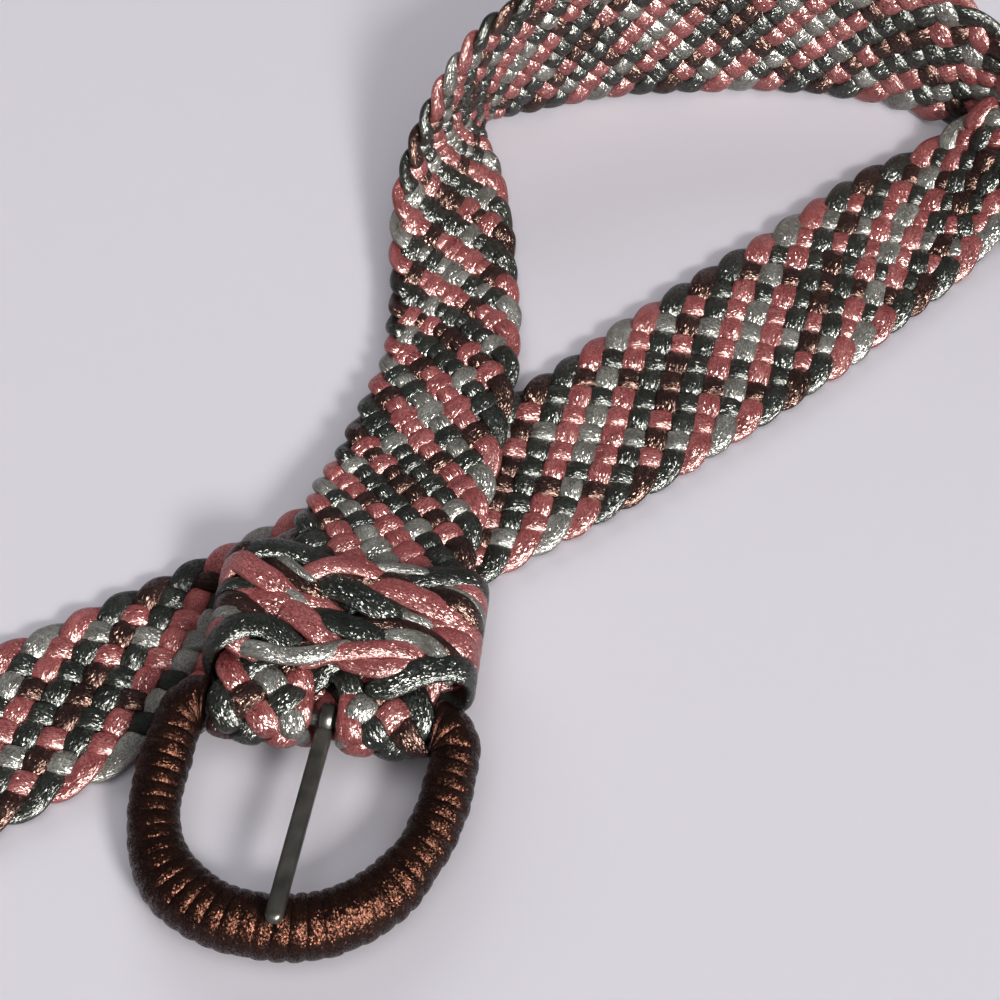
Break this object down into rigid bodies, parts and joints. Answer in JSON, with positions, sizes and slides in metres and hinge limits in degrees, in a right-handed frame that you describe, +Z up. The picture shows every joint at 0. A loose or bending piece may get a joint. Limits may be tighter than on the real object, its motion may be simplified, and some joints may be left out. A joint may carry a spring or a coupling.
{
  "type": "woven belt",
  "caption": "Wide belt braided from satin cords, lying in an open loop, with a cord-wound D buckle, a steel prong and a braided keeper.",
  "frame": {"origin": "middle of the belt's footprint, on the table that it lies on", "axes": "+Z up from the table, +X to the right and -Y to the front, where the buckle lies"},
  "size_m": [0.3118, 0.3028, 0.054],
  "materials": {
    "braid": "satin cord in salmon pink, silver sage, dark green-grey and dark brown",
    "winding": "dark brown satin cord wound tightly, with copper highlights",
    "dark_steel": "dark polished steel"
  },
  "bodies": {
    "belt": {"strap": "braid", "keeper": "braid"},
    "buckle": {"buckle_frame": "dark_steel", "buckle_wrap": "winding"},
    "tongue": {"prong": "dark_steel"}
  },
  "joints": [
    {"name": "buckle_swing", "type": "hinge", "parent": "belt", "child": "buckle", "pos_m": [-0.03252, -0.09211, 0.0138], "axis": [-0.9976, 0.0698, 0], "range_deg": [0, 40]},
    {"name": "prong_swing", "type": "hinge", "parent": "buckle", "child": "tongue", "pos_m": [-0.03252, -0.09211, 0.0138], "axis": [-0.9976, 0.0698, 0], "range_deg": [0, 75]}
  ]
}
